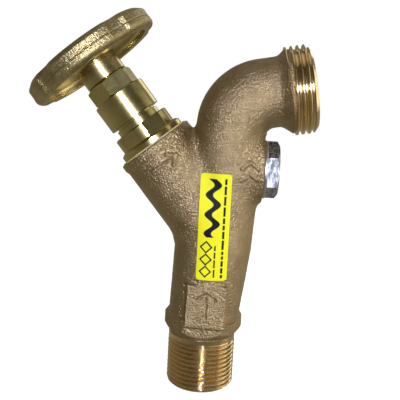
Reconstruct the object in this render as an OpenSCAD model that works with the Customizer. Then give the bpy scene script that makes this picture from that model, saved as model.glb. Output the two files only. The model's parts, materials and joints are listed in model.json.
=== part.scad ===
// Angle-pattern hose bib: threaded inlet at the bottom, swan neck outlet to +X, oblique bonnet to -X.
// The origin is the centre of the inlet thread's free end, +Z runs up the inlet, XZ is the mirror plane.

/* [Inlet] */
// Crest diameter of the inlet pipe thread
inlet_thread_d = 26.44; // [26.3:0.02:26.6]
// Length of the inlet thread, up to the collar
inlet_thread_len = 21.2; // [19:0.1:22]
// Bore of the inlet
inlet_bore_d = 19; // [17:0.5:20]
// Width across flats of the hexagonal collar above the inlet thread
collar_flats = 27; // [26.8:0.1:27.2]
// Height of the collar's top edge
collar_top = 30.4; // [29:0.1:31]

/* [Trunk] */
// Radius of the trunk where it leaves the collar
trunk_low_r = 13.85; // [13:0.05:14.2]
// Radius of the trunk at its fullest
trunk_mid_r = 15.1; // [14.5:0.05:15.5]
// Height of the fullest section
trunk_mid_z = 60; // [56:0.5:62]
// Sideways shift of the fullest section towards the outlet
trunk_mid_x = 2.85; // [2.5:0.05:3.2]

/* [Outlet] */
// Crest diameter of the outlet hose thread
outlet_thread_d = 33.25; // [33:0.05:33.4]
// Length of the outlet thread
outlet_thread_len = 9.6; // [9:0.1:10]
// Bore of the outlet
outlet_bore_d = 19; // [17:0.5:20]
// Outer radius of the swan neck
neck_r = 13.3; // [13:0.05:13.6]
// Distance of the outlet's end centre from the inlet axis
outlet_end_x = 37.05; // [36.5:0.05:38]
// Height of the outlet's end centre
outlet_end_z = 118.9; // [118:0.1:120]
// Upward tilt of the outlet axis, in degrees
outlet_tilt = 10.4; // [9.5:0.1:11]

/* [Drain plug] */
// Distance of the drain boss face from the inlet axis
boss_face_x = 20.2; // [20:0.05:20.4]
// Height of the drain plug axis
plug_z = 87.35; // [87:0.05:88]
// Width across flats of the drain plug
plug_flats = 19; // [18:0.5:20]

/* [Bonnet] */
// Angle between the bonnet axis and the inlet axis, in degrees
bonnet_tilt = 38.94; // [38.5:0.01:39.5]
// Height at which the bonnet axis crosses the inlet axis
bonnet_cross_z = 67.8; // [67.5:0.1:68.2]
// Outer radius of the branch that holds the bonnet
branch_r = 14.85; // [14.6:0.05:15]
// Diameter of the bonnet flange
flange_d = 26.4; // [26:0.1:27]
// Width across flats of the bonnet hexagon
bonnet_flats = 22; // [21:0.5:22.5]
// Diameter of the stuffing box
box_d = 21.02; // [20.6:0.02:21.4]
// Width across flats of the gland nut
gland_flats = 17; // [16.5:0.5:18]

/* [Handwheel] */
// Largest diameter of the lobed rim
wheel_d = 53.6; // [53:0.1:54]
// Inner diameter of the rim
wheel_inner_d = 44.6; // [44:0.1:45]
// Diameter of the hub
hub_d = 16.68; // [16:0.02:17.4]
// Number of scallops in the rim
scallop_count = 5; // [4:1:6]
// Depth of each scallop
scallop_depth = 1.3; // [0.8:0.1:1.6]

/* [Spindle] */
// Diameter of the plain spindle
spindle_d = 10; // [9.8:0.1:10]
// Diameter of the spindle thread
spindle_thread_d = 12; // [11.8:0.1:12]

/* [Hidden] */
$fn = 96;

cast_colour = [0.66, 0.52, 0.38];
brass_colour = [0.78, 0.68, 0.38];
rubber_colour = [0.12, 0.12, 0.12];
fibre_colour = [0.85, 0.80, 0.55];
packing_colour = [0.88, 0.87, 0.83];
nickel_colour = [0.72, 0.70, 0.64];
label_colour = [0.90, 0.87, 0.18];

// Radial gap of a threaded or seated joint, and of a running one
seat_gap = 0.05;
run_gap = 0.06;
// Overlap of cutting tools past the faces they cut
over = 1;

// Extra radius of the ball that joins two round bars
joint_swell = 0.2;

// Neck: a close elbow from the upright leg to the tilted outlet
elbow_r = neck_r + 0.1;
elbow_x = boss_face_x + 0.2;
outlet_run = (outlet_end_x + elbow_r * sin(outlet_tilt) - elbow_x) / cos(outlet_tilt);
elbow_z = outlet_end_z - outlet_run * sin(outlet_tilt) - elbow_r * cos(outlet_tilt);
elbow_top = 90 + outlet_tilt;
leg_x = elbow_x - elbow_r;
shoulder_len = 3;
shoulder_r = 15.7;
neck_bore_r = outlet_bore_d / 2;

// Drain boss and plug
boss_r = 12;
boss_root_x = 6;
plug_thread_r = 8.28;
plug_thread_len = 7;
plug_head_len = 4.6;
plug_seal_r = 11.15;
plug_seal_len = 1.2;

// Stations along the bonnet axis, counted from the inlet axis
partition_low = 2.2;
partition_high = 6.2;
seat_rim = 7.7;
washer_low = seat_rim + 0.05;
washer_high = washer_low + 3;
carrier_high = 18.2;
carrier_pocket = 13.7;
ring_low = 16.3;
foot_high = 16.1;
thread_low = 19.7;
bonnet_low = 27.7;
mouth = 35.1;
gasket_len = 0.4;
flange_low = mouth + gasket_len;
flange_high = flange_low + 2;
bevel_high = flange_high + 0.9;
hex_high = 44;
thread_high = 36.7;
neck_ring_high = 46.4;
box_low = 47.2;
box_floor = 48.7;
box_high = 58;
gland_high = 64.7;
hub_low = 65;
shoulder = 66.1;
rim_low = 71;
web_low = 74;
web_high = 77.2;
rim_high = 79.2;
nut_low = web_high + 1;
nut_high = nut_low + 3.2;
spindle_top = 82;
chamber_r = 11.5;
mouth_r = 11.9;
seat_hole_r = 8.8;
packing_len = 2.2;
box_r = 8;
follower_len = 1.2;
square_flats = 7;
tip_d = 6;

// Width of the cutting half-space
far = 120;

// Moves children to a station on the bonnet axis, with local Z along it
module on_bonnet_axis(station) {
    translate([0, 0, bonnet_cross_z])
        rotate([0, -bonnet_tilt, 0])
            translate([0, 0, station])
                children();
}

// Moves children to a place on the outlet axis, counted from its end
module on_outlet_axis(station) {
    translate([outlet_end_x, 0, outlet_end_z])
        rotate([0, 90 - outlet_tilt, 0])
            translate([0, 0, station])
                children();
}

// Moves children onto the plug axis, with local Z along +X
module on_plug_axis(x) {
    translate([x, 0, plug_z])
        rotate([0, 90, 0])
            children();
}

// Cone whose axis runs between two points of the XZ plane
module leaning_cone(x1, z1, r1, x2, z2, r2) {
    lean = atan2(x2 - x1, z2 - z1);
    translate([x1, 0, z1])
        rotate([0, lean, 0])
            cylinder(h = norm([x2 - x1, z2 - z1]), r1 = r1, r2 = r2);
}

// Round rod between two points of the XZ plane
module rod(x1, z1, x2, z2, r) {
    leaning_cone(x1, z1, r, x2, z2, r);
}

// Bent round bar along the elbow, as straight rods with a ball at each bend
module elbow(r, angles) {
    for (i = [0 : len(angles) - 1])
        translate([elbow_x + elbow_r * cos(angles[i]), 0, elbow_z + elbow_r * sin(angles[i])])
            sphere(r = r + joint_swell);
    for (i = [0 : len(angles) - 2])
        rod(elbow_x + elbow_r * cos(angles[i]), elbow_z + elbow_r * sin(angles[i]),
            elbow_x + elbow_r * cos(angles[i + 1]), elbow_z + elbow_r * sin(angles[i + 1]), r);
}

// Ring or disc with square edges
module ring(outer_r, inner_r, height) {
    difference() {
        cylinder(h = height, r = outer_r);
        translate([0, 0, -over])
            cylinder(h = height + 2 * over, r = inner_r);
    }
}

// Hexagonal prism with its corners turned off at both ends
module turned_hexagon(flats, height, low_bevel, high_bevel) {
    corner_r = flats / sqrt(3);
    bevel = 0.12 * flats;
    intersection() {
        cylinder(h = height, r = corner_r, $fn = 6);
        rotate_extrude()
            polygon([
                [0, 0],
                [corner_r - (low_bevel ? bevel : 0), 0],
                [corner_r, low_bevel ? bevel / 2 : 0],
                [corner_r, height - (high_bevel ? bevel / 2 : 0)],
                [corner_r - (high_bevel ? bevel : 0), height],
                [0, height]
            ]);
    }
}

// Outer shape of the trunk and the branch, grown outwards by a small amount
module trunk_and_branch(grow) {
    leaning_cone(0.2, collar_top - 1.4, trunk_low_r + grow,
                 trunk_mid_x, trunk_mid_z, trunk_mid_r + grow);
    translate([trunk_mid_x, 0, trunk_mid_z])
        sphere(r = trunk_mid_r + joint_swell + grow);
    leaning_cone(trunk_mid_x, trunk_mid_z, trunk_mid_r + grow,
                 leg_x, elbow_z, neck_r + grow);
    on_bonnet_axis(4)
        sphere(r = branch_r + joint_swell + grow);
    on_bonnet_axis(4)
        cylinder(h = mouth - 4, r = branch_r + grow);
}

// Hexagonal collar with turned corners, which the inlet screws up to
module collar() {
    turned_r = 15.3;
    intersection() {
        cylinder(h = collar_top, r = collar_flats / sqrt(3), $fn = 6);
        rotate_extrude()
            polygon([
                [0, inlet_thread_len],
                [inlet_thread_d / 2, inlet_thread_len],
                [turned_r, inlet_thread_len + 3.4],
                [turned_r, collar_top - 1.2],
                [trunk_low_r, collar_top],
                [0, collar_top]
            ]);
    }
}

// Flat raised pads on the front and the back of the trunk, above the collar
module pads() {
    pad_low = [-6.4, 26.9];
    pad_size = [15.3, 17.1];
    pad_reach = 14.6;
    translate([pad_low[0], -pad_reach, pad_low[1]])
        cube([pad_size[0], 2 * pad_reach, pad_size[1]]);
}

module body_outer() {
    inlet_r = inlet_thread_d / 2;
    end_bevel = 0.4;
    cylinder(h = end_bevel, r1 = inlet_r - end_bevel, r2 = inlet_r);
    translate([0, 0, end_bevel])
        cylinder(h = inlet_thread_len, r = inlet_r);
    collar();
    pads();
    trunk_and_branch(0);
    on_bonnet_axis(mouth - 3)
        cylinder(h = 3, r = branch_r + 0.2);
    on_plug_axis(boss_root_x)
        cylinder(h = boss_face_x - boss_root_x, r = boss_r);
    elbow(neck_r, [elbow_top, 125, 152, 180]);
    on_outlet_axis(-outlet_run)
        cylinder(h = outlet_run - outlet_thread_len, r = neck_r);
    on_outlet_axis(-outlet_thread_len - shoulder_len)
        cylinder(h = shoulder_len, r1 = neck_r, r2 = shoulder_r);
    on_outlet_axis(-outlet_thread_len)
        cylinder(h = outlet_thread_len - end_bevel, r = outlet_thread_d / 2);
    on_outlet_axis(-end_bevel)
        cylinder(h = end_bevel, r1 = outlet_thread_d / 2, r2 = outlet_thread_d / 2 - end_bevel);
}

// Water space below the partition, which the seat and the drain plug open into
module lower_waterway() {
    swell_x = 3;
    swell_low = 48;
    swell_high = 90;
    swell_r = 10.5;
    link_x = 11;
    link_len = 28;
    link_r = 5;
    port_x = 12.8;
    port_len = 10;
    intersection() {
        union() {
            translate([0, 0, -over])
                cylinder(h = swell_high, r = inlet_bore_d / 2);
            translate([swell_x, 0, swell_low])
                cylinder(h = swell_high - swell_low, r = swell_r);
        }
        on_bonnet_axis(partition_low - far)
            translate([-far, -far, 0])
                cube([2 * far, 2 * far, far]);
    }
    translate([link_x, 0, trunk_mid_z])
        cylinder(h = link_len, r = link_r);
    on_plug_axis(port_x)
        cylinder(h = port_len, r = plug_thread_r + seat_gap);
}

// Water space above the partition, through the swan neck to the outlet
module upper_waterway() {
    mouth_len = 9;
    throat = 165;
    gate_x = -7.1;
    gate_z = 89.3;
    gate_r = 6.5;
    on_bonnet_axis(partition_high)
        cylinder(h = mouth - partition_high - mouth_len + over, r = chamber_r);
    on_bonnet_axis(mouth - mouth_len)
        cylinder(h = mouth_len + over, r = mouth_r);
    rod(gate_x, gate_z, elbow_x + elbow_r * cos(throat), elbow_z + elbow_r * sin(throat), gate_r);
    elbow(neck_bore_r, [elbow_top, throat]);
    on_outlet_axis(-outlet_run)
        cylinder(h = outlet_run + over, r = outlet_bore_d / 2);
}

module valve_body() {
    color(cast_colour)
        difference() {
            body_outer();
            lower_waterway();
            upper_waterway();
            on_bonnet_axis(partition_low - 2)
                cylinder(h = partition_high - partition_low + 4, r = seat_hole_r);
        }
}

module seat_ring() {
    bore_r = 7;
    color(brass_colour)
        on_bonnet_axis(0)
            rotate_extrude()
                polygon([
                    [bore_r, partition_low],
                    [seat_hole_r - seat_gap, partition_low],
                    [seat_hole_r - seat_gap, partition_high],
                    [9.8, partition_high],
                    [9.8, partition_high + 0.9],
                    [8.2, partition_high + 0.9],
                    [7.8, seat_rim],
                    [bore_r, seat_rim]
                ]);
}

module bonnet() {
    bevel_drop = 1;
    ring_r = 8.95;
    groove_r = 8.2;
    bore_r = spindle_thread_d / 2 + run_gap;
    color(brass_colour)
        difference() {
            on_bonnet_axis(0)
                union() {
                    rotate_extrude()
                        polygon([
                            [0, bonnet_low],
                            [mouth_r - seat_gap - 0.8, bonnet_low],
                            [mouth_r - seat_gap, bonnet_low + 0.8],
                            [mouth_r - seat_gap, flange_low],
                            [flange_d / 2, flange_low],
                            [flange_d / 2, flange_high],
                            [flange_d / 2 - bevel_drop, bevel_high],
                            [ring_r, bevel_high],
                            [ring_r, neck_ring_high],
                            [groove_r, neck_ring_high],
                            [groove_r, box_low],
                            [box_d / 2 - 0.4, box_low],
                            [box_d / 2, box_low + 0.4],
                            [box_d / 2, box_high],
                            [0, box_high]
                        ]);
                    intersection() {
                        translate([0, 0, flange_high])
                            rotate([0, 0, 30])
                                turned_hexagon(bonnet_flats, hex_high - flange_high, false, true);
                        cylinder(h = hex_high, r = 11.7);
                    }
                }
            on_bonnet_axis(bonnet_low - over)
                cylinder(h = neck_ring_high - bonnet_low + over, r = bore_r);
            on_bonnet_axis(bonnet_low)
                cylinder(h = box_high - bonnet_low, r = spindle_d / 2 + run_gap);
            on_bonnet_axis(box_floor)
                cylinder(h = box_high - box_floor + over, r = box_r);
        }
}

module bonnet_gasket() {
    color(fibre_colour)
        on_bonnet_axis(mouth)
            ring(14.2, mouth_r, gasket_len);
}

module packing_ring(station) {
    color(packing_colour)
        on_bonnet_axis(station)
            ring(box_r - seat_gap, spindle_d / 2 + run_gap, packing_len);
}

module packing_ring_lower() {
    packing_ring(box_floor);
}

module packing_ring_upper() {
    packing_ring(box_floor + packing_len);
}

module gland_follower() {
    color(brass_colour)
        on_bonnet_axis(box_floor + 2 * packing_len)
            ring(box_r - seat_gap, spindle_d / 2 + run_gap, follower_len);
}

module gland_nut() {
    shank_low = box_floor + 2 * packing_len + follower_len;
    turn = 23;
    color(brass_colour)
        difference() {
            union() {
                on_bonnet_axis(shank_low)
                    cylinder(h = box_high - shank_low, r = box_r - seat_gap);
                on_bonnet_axis(box_high)
                    rotate([0, 0, turn])
                        turned_hexagon(gland_flats, gland_high - box_high, true, true);
            }
            on_bonnet_axis(shank_low - over)
                cylinder(h = gland_high - shank_low + 2 * over, r = spindle_d / 2 + run_gap);
        }
}

module spindle() {
    neck_r_small = 3.1;
    foot_r = 4.6;
    shank_r = spindle_d / 2;
    thread_r = spindle_thread_d / 2;
    tip_bevel = 0.6;
    color(brass_colour)
        on_bonnet_axis(0)
            union() {
                rotate_extrude()
                    polygon([
                        [0, carrier_pocket + 0.2],
                        [foot_r, carrier_pocket + 0.2],
                        [foot_r, foot_high],
                        [neck_r_small, foot_high],
                        [neck_r_small, thread_low],
                        [thread_r - 1, thread_low],
                        [thread_r, thread_low + 1],
                        [thread_r, thread_high - 1],
                        [shank_r, thread_high],
                        [shank_r, shoulder],
                        [tip_d / 2, shoulder],
                        [tip_d / 2, spindle_top - tip_bevel],
                        [tip_d / 2 - tip_bevel, spindle_top],
                        [0, spindle_top]
                    ]);
                translate([-square_flats / 2, -square_flats / 2, shoulder])
                    cube([square_flats, square_flats, web_high - shoulder - 0.6]);
            }
}

module handwheel() {
    rim_r = wheel_d / 2;
    inner_r = wheel_inner_d / 2;
    cutter_r = 8;
    first_scallop = -90 - 32.5;
    color(cast_colour)
        on_bonnet_axis(0)
            difference() {
                rotate_extrude()
                    polygon([
                        [0, hub_low],
                        [hub_d / 2, hub_low],
                        [hub_d / 2, web_low - 1],
                        [hub_d / 2 + 1.5, web_low],
                        [inner_r - 1, web_low],
                        [inner_r, web_low - 1],
                        [inner_r, rim_low + 0.3],
                        [inner_r + 0.3, rim_low],
                        [rim_r - 1.8, rim_low],
                        [rim_r - 0.5, rim_low + 0.8],
                        [rim_r, rim_low + 2.2],
                        [rim_r, rim_high - 1.7],
                        [rim_r - 1.7, rim_high],
                        [inner_r + 0.6, rim_high],
                        [inner_r - 1.4, web_high],
                        [0, web_high]
                    ]);
                for (i = [0 : scallop_count - 1])
                    rotate([0, 0, first_scallop + i * 360 / scallop_count])
                        translate([rim_r + cutter_r - scallop_depth, 0, rim_low - over])
                            cylinder(h = rim_high - rim_low + 2 * over, r = cutter_r);
                translate([0, 0, hub_low - over])
                    cylinder(h = shoulder - hub_low + over, r = spindle_d / 2 + seat_gap);
                translate([-square_flats / 2 - seat_gap, -square_flats / 2 - seat_gap, hub_low])
                    cube([square_flats + 2 * seat_gap, square_flats + 2 * seat_gap, 20]);
            }
}

module handwheel_washer() {
    color(nickel_colour)
        on_bonnet_axis(web_high)
            ring(6.2, tip_d / 2 + seat_gap, nut_low - web_high);
}

module handwheel_nut() {
    color(nickel_colour)
        on_bonnet_axis(nut_low)
            difference() {
                turned_hexagon(10, nut_high - nut_low, true, true);
                translate([0, 0, -over])
                    cylinder(h = nut_high, r = tip_d / 2 + seat_gap);
                translate([0, 0, over])
                    cylinder(h = nut_high, r = tip_d / 2 + seat_gap);
            }
}

module disc_carrier() {
    stud_r = 2.5;
    color(brass_colour)
        on_bonnet_axis(0)
            rotate_extrude()
                polygon([
                    [0, partition_low],
                    [stud_r - 0.4, partition_low],
                    [stud_r, partition_low + 0.4],
                    [stud_r, washer_high],
                    [7.4, washer_high],
                    [8.4, washer_high + 1],
                    [8.4, carrier_high - 1],
                    [7.4, carrier_high],
                    [5.55, carrier_high],
                    [5.55, carrier_pocket],
                    [0, carrier_pocket]
                ]);
}

module disc_retaining_ring() {
    color(brass_colour)
        on_bonnet_axis(ring_low)
            ring(5.5, 3.1 + run_gap, carrier_high - ring_low);
}

module seat_washer() {
    color(rubber_colour)
        on_bonnet_axis(washer_low)
            ring(8.1, 2.55, washer_high - washer_low);
}

module seat_washer_retainer() {
    color(brass_colour)
        on_bonnet_axis(washer_low - 1)
            ring(5.5, 2.55, 1);
}

module seat_washer_nut() {
    nut_len = 3.2;
    color(brass_colour)
        on_bonnet_axis(washer_low - 1 - nut_len)
            difference() {
                turned_hexagon(8, nut_len, true, true);
                translate([0, 0, -over])
                    cylinder(h = nut_len + 2 * over, r = 2.55);
            }
}

module drain_plug() {
    head_x = boss_face_x + plug_seal_len;
    color(nickel_colour)
        union() {
            on_plug_axis(head_x - plug_thread_len - plug_seal_len)
                cylinder(h = plug_thread_len + plug_seal_len, r = plug_thread_r);
            on_plug_axis(head_x)
                turned_hexagon(plug_flats, plug_head_len, false, true);
        }
}

module drain_plug_seal() {
    color(nickel_colour)
        on_plug_axis(boss_face_x)
            ring(plug_seal_r, plug_thread_r + seat_gap, plug_seal_len);
}

module body_label() {
    thickness = 0.2;
    low = [-3, 46.2];
    size = [11.5, 40.2];
    color(label_colour)
        difference() {
            intersection() {
                trunk_and_branch(thickness);
                translate([low[0], -2 * branch_r, low[1]])
                    cube([size[0], 2 * branch_r, size[1]]);
            }
            trunk_and_branch(0);
        }
}

valve_body();
seat_ring();
bonnet();
bonnet_gasket();
packing_ring_lower();
packing_ring_upper();
gland_follower();
gland_nut();
spindle();
handwheel();
handwheel_washer();
handwheel_nut();
disc_carrier();
disc_retaining_ring();
seat_washer();
seat_washer_retainer();
seat_washer_nut();
drain_plug();
drain_plug_seal();
body_label();
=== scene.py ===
"""Looks of the hose bib: cast bronze body, machined threads, turned brass bonnet parts, lobed handwheel."""

import json
import math

import bpy
import numpy as np
import openvdb
from mathutils import Matrix, Vector


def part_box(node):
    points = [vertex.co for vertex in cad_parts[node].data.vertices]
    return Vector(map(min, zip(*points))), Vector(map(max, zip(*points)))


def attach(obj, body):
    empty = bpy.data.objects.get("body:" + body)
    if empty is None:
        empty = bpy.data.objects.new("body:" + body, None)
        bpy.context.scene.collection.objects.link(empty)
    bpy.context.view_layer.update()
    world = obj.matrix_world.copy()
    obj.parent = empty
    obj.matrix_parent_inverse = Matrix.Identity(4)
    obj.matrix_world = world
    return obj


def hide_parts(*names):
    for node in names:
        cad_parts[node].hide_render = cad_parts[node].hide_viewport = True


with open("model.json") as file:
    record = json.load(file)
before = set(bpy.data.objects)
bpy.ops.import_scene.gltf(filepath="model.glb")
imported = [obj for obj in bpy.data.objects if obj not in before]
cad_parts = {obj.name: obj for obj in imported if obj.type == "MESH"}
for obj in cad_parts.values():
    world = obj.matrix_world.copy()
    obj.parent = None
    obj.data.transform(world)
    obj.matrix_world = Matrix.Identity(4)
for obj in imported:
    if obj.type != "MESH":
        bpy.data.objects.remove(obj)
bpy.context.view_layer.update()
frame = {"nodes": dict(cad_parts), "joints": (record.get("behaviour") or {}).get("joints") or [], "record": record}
MM = 0.001
RECORD = frame["record"]
MOUNTS = {m["name"]: m for m in RECORD["mounts"]}
JOINTS = {j["name"]: j for j in frame["joints"]}


# ---------------------------------------------------------------- axes and main sizes, from the frame, in mm

def unit(v):
    v = np.array(v, float)
    return v / np.linalg.norm(v)


TURN = JOINTS["handwheel_turn"]
BONNET_AXIS = unit(TURN["axis"])
BONNET_SIDE = unit([BONNET_AXIS[2], 0, -BONNET_AXIS[0]])
BONNET_POINT = np.array(TURN["pos_m"]) / MM
OUTLET_AXIS = unit(MOUNTS["outlet_thread"]["axis"])
OUTLET_TILT = math.degrees(math.asin(OUTLET_AXIS[2]))
INLET_R = MOUNTS["inlet_thread"]["dims"]["r_mm"]
OUTLET_R = MOUNTS["outlet_thread"]["dims"]["r_mm"]


def station_box(node):
    """Lowest and highest station of a CAD node along the bonnet axis, and its largest radius, in mm."""
    co = np.array([v.co for v in frame["nodes"][node].data.vertices], float) / MM - BONNET_POINT
    s = co @ BONNET_AXIS
    r = np.linalg.norm(co - s[:, None] * BONNET_AXIS, axis=1)
    return s.min(), s.max(), r.max()


def outlet_end():
    """Centre of the outlet's end face in mm, at the body's outermost point along the outlet axis."""
    co = np.array([v.co for v in frame["nodes"]["valve_body"].data.vertices], float) / MM
    start = np.array(MOUNTS["outlet_thread"]["pos_m"]) / MM
    reach = ((co - start) @ OUTLET_AXIS).max()
    return start + reach * OUTLET_AXIS


OUTLET_END = outlet_end()
BODY_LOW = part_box("valve_body")[0].z / MM
PLUG_LOW, PLUG_HIGH = (np.array(v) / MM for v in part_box("drain_plug"))
SEAL_LOW, SEAL_HIGH = (np.array(v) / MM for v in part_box("drain_plug_seal"))
PLUG_Z = (PLUG_LOW[2] + PLUG_HIGH[2]) / 2
BOSS_FACE_X = SEAL_LOW[0]
MOUTH = station_box("bonnet_gasket")[0]
BONNET_TOP = station_box("bonnet")[1]
GLAND_TOP = station_box("gland_nut")[1]
WHEEL_LOW, WHEEL_HIGH, WHEEL_R = station_box("handwheel")

# Sizes of the casting that the solids only state through their surfaces, in mm
INLET_PITCH = 1.814
OUTLET_PITCH = 2.309
THREAD_DEPTH = 0.6403
INLET_THREAD_TOP = 21.5
INLET_RIDGE_END = 19.7
OUTLET_THREAD_LEN = 9.6
OUTLET_RIDGE_END = 9.9
BORE_R = 9.5
NECK_R = 13.15
ELBOW_R = 13.3
WIDE_ELBOW_R = 17.2
BRANCH_R = 14.75
BOSS_R = 12.1
SPINDLE_BORE_R = 5.06

# Hexagons of the turned parts: width across flats in mm, and the turn of one corner in degrees
BONNET_FLATS, BONNET_TURN = 22.0, 30
GLAND_FLATS, GLAND_TURN = 17.0, 23
PLUG_FLATS, PLUG_TURN = 19.0, 0
WHEEL_NUT_FLATS, WHEEL_NUT_TURN = 10.0, 0

# How brightly the studio's paper shows
FLOOR_GLOW = 0.95


# ---------------------------------------------------------------- mesh helpers

def new_object(name, verts, faces, materials, smooth_angle=35, face_slots=None):
    """Makes a mesh object from points in mm, links it, and smooths all but its sharp edges."""
    mesh = bpy.data.meshes.new(name)
    mesh.from_pydata((np.asarray(verts, float) * MM).tolist(), [], [tuple(f) for f in faces])
    mesh.validate()
    mesh.update()
    for m in materials:
        mesh.materials.append(m)
    if face_slots is not None:
        mesh.polygons.foreach_set("material_index", np.asarray(face_slots, np.int32))
    mesh.polygons.foreach_set("use_smooth", np.ones(len(mesh.polygons), bool))
    if smooth_angle:
        mesh.set_sharp_from_angle(angle=math.radians(smooth_angle))
    obj = bpy.data.objects.new(name, mesh)
    bpy.context.scene.collection.objects.link(obj)
    return obj


def place(local, origin, axis, side):
    """Turns local points (x along side, z along axis) into row-frame points in mm."""
    across = np.cross(axis, side)
    return np.asarray(origin) + local[:, :1] * side + local[:, 1:2] * across + local[:, 2:3] * axis


def ring_stack(rings, count=192, closed=True):
    """Mesh of one skin through rings. A ring is (r, z), where either may be a function of the angle."""
    theta = np.linspace(0, 2 * math.pi, count, endpoint=False)
    rows = []
    for r, z in rings:
        radius = r(theta) if callable(r) else np.full(count, float(r))
        height = z(theta) if callable(z) else np.full(count, float(z))
        rows.append(np.stack([radius * np.cos(theta), radius * np.sin(theta), height], 1))
    verts = np.concatenate(rows)
    steps = len(rings) if closed else len(rings) - 1
    i = np.arange(count)
    j = (i + 1) % count
    faces = []
    for k in range(steps):
        a, b = k * count, ((k + 1) % len(rings)) * count
        faces.append(np.stack([a + i, a + j, b + j, b + i], 1))
    return verts, np.concatenate(faces)


def outward(verts, faces):
    """Flips the faces if their signed volume is negative."""
    v = np.asarray(verts)
    f = np.asarray(faces)
    a, b, c, d = v[f[:, 0]], v[f[:, 1]], v[f[:, 2]], v[f[:, 3]]
    volume = (np.cross(a, b) * c).sum() + (np.cross(a, c) * d).sum()
    return f if volume > 0 else f[:, ::-1]


def hex_radius(flats, turn_deg):
    """Radius of a hexagon as a function of the angle."""
    def radius(theta):
        off = np.mod(theta - math.radians(turn_deg), math.pi / 3) - math.pi / 6
        return flats / 2 / np.cos(off)
    return radius


def limited(radius, limit):
    return lambda theta: np.minimum(radius(theta), limit)


def bevelled_hex(flats, turn_deg, low, high, low_turned=None, high_turned=None, corner_limit=99, slope=0.55):
    """Rings up the side of a hexagon whose corners are turned off by cones at its ends."""
    side = limited(hex_radius(flats, turn_deg), corner_limit)
    edge = 0.12
    rings = []
    if low_turned:
        rings.append((limited(side, low_turned), low))
        rings.append((side, lambda t: low + slope * np.maximum(side(t) - low_turned, 0) + edge * 0.2))
    else:
        rings.append((lambda t: side(t) - edge, low))
        rings.append((side, low + edge))
    if high_turned:
        rings.append((side, lambda t: high - slope * np.maximum(side(t) - high_turned, 0) - edge * 0.2))
        rings.append((limited(side, high_turned), high))
    else:
        rings.append((side, high - edge))
        rings.append((lambda t: side(t) - edge, high))
    return rings


def rounded_corner(r, z, radius, start_deg, end_deg, steps=6):
    """Rings round an arc of a profile, about the centre (r, z)."""
    angles = np.radians(np.linspace(start_deg, end_deg, steps))
    return [(r + radius * math.cos(a), z + radius * math.sin(a)) for a in angles]


# ---------------------------------------------------------------- distance fields for the casting, in mm

def blend_min(a, b, k):
    """Smallest of two fields, with a fillet of about size k."""
    h = np.maximum(k - np.abs(a - b), 0) / k
    return np.minimum(a, b) - h * h * k * 0.25


def cut(a, b, k):
    """Field a with b taken out, and the edge rounded by about k."""
    return -blend_min(-a, b, k)


def cone_field(x, y, z, start, end, r1, r2):
    """Flat-ended cone between two points."""
    start, end = np.array(start, float), np.array(end, float)
    axis = end - start
    length2 = float(axis @ axis)
    dx, dy, dz = x - start[0], y - start[1], z - start[2]
    t = (dx * axis[0] + dy * axis[1] + dz * axis[2]) / length2
    radial = np.sqrt(np.maximum(dx * dx + dy * dy + dz * dz - t * t * length2, 0))
    taper = r2 - r1
    k = taper * taper + length2
    end_r = np.maximum(radial - np.where(t < 0.5, r1, r2), 0)
    end_t = np.abs(t - 0.5) - 0.5
    f = np.clip((taper * (radial - r1) + t * length2) / k, 0, 1)
    side_r = radial - r1 - f * taper
    side_t = t - f
    sign = np.where((side_r < 0) & (end_t < 0), -1.0, 1.0)
    near = np.minimum(end_r ** 2 + end_t ** 2 * length2, side_r ** 2 + side_t ** 2 * length2)
    return sign * np.sqrt(near)


def rounded_drum(radial, along, radius, low, high, corner):
    """Cylinder with rounded edges, from its radial and axial coordinates."""
    a = radial - (radius - corner)
    b = np.abs(along - (low + high) / 2) - ((high - low) / 2 - corner)
    return np.minimum(np.maximum(a, b), 0) + np.hypot(np.maximum(a, 0), np.maximum(b, 0)) - corner


def rounded_box(x, y, z, centre, half, corner, lean_deg=0):
    """Box with rounded edges, leaned about Y."""
    c, s = math.cos(math.radians(lean_deg)), math.sin(math.radians(lean_deg))
    dx, dy, dz = x - centre[0], y - centre[1], z - centre[2]
    u, w = dx * c - dz * s, dx * s + dz * c
    a = np.abs(u) - (half[0] - corner)
    b = np.abs(dy) - (half[1] - corner)
    d = np.abs(w) - (half[2] - corner)
    outside = np.sqrt(np.maximum(a, 0) ** 2 + np.maximum(b, 0) ** 2 + np.maximum(d, 0) ** 2)
    return np.minimum(np.maximum(np.maximum(a, b), d), 0) + outside - corner


def elbow_field(x, y, z, centre, bend, radius, low_deg, high_deg):
    """Round bar bent about a line along Y, between two angles, with ball ends."""
    dx, dz = x - centre[0], z - centre[1]
    angle = np.degrees(np.arctan2(dz, dx))
    angle = np.where(angle < 0, angle + 360, angle)
    nearest = np.radians(np.clip(angle, low_deg, high_deg))
    ex, ez = dx - bend * np.cos(nearest), dz - bend * np.sin(nearest)
    return np.sqrt(ex * ex + ez * ez + y * y) - radius


def value_noise(x, y, z, size, seed):
    """Smooth noise between -1 and 1, from a wrapped lattice of random numbers."""
    cells = 32
    lattice = np.random.default_rng(seed).uniform(-1, 1, (cells, cells, cells)).astype(np.float32)
    out = np.zeros(np.broadcast(x, y, z).shape, np.float32)
    base, part = [], []
    for v in (x, y, z):
        q = np.asarray(v, np.float32) / size
        f = np.floor(q)
        t = q - f
        base.append(f.astype(np.int64) % cells)
        part.append(t * t * (3 - 2 * t))
    for i in (0, 1):
        for j in (0, 1):
            for k in (0, 1):
                weight = (part[0] if i else 1 - part[0]) * (part[1] if j else 1 - part[1]) \
                    * (part[2] if k else 1 - part[2])
                out += weight * lattice[(base[0] + i) % cells, (base[1] + j) % cells, (base[2] + k) % cells]
    return out


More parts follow.
